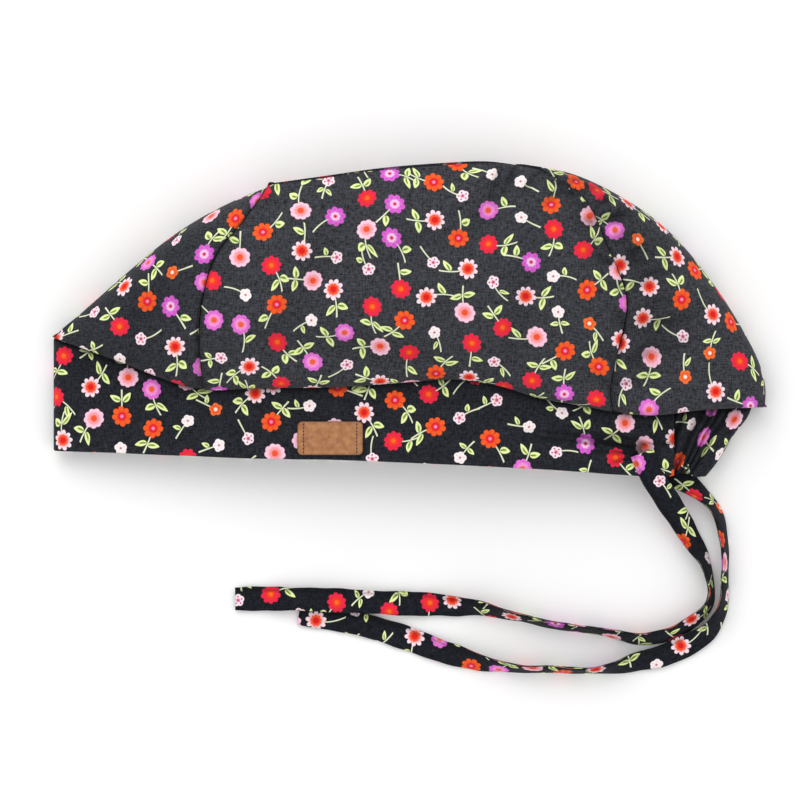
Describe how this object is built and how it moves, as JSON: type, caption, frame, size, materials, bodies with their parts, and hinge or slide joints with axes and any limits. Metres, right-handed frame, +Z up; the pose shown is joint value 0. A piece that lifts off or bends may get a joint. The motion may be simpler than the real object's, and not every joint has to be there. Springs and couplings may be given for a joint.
{
  "type": "surgical scrub cap",
  "caption": "Cotton scrub cap lying on its side: wide band, two side panels, a centre strip, a gathered nape and two long ties.",
  "frame": {"origin": "on the table, below the middle of the cap without its ties", "axes": "+X from the brow fold to the nape, +Y from the mouth to the top of the crown as the cap lies, +Z up from the table"},
  "size_m": [0.2922, 0.2097, 0.0442],
  "materials": {
    "printed_cotton": "matt blue-black cotton poplin with a small flower print",
    "tan_leather": "satin tan leather with dark stitching"
  },
  "bodies": {
    "root": {"crown_side_left": "printed_cotton", "crown_side_right": "printed_cotton", "crown_strip": "printed_cotton", "band": "printed_cotton", "back_casing": "printed_cotton", "tie_left": "printed_cotton", "tie_right": "printed_cotton", "label": "tan_leather"}
  },
  "joints": []
}
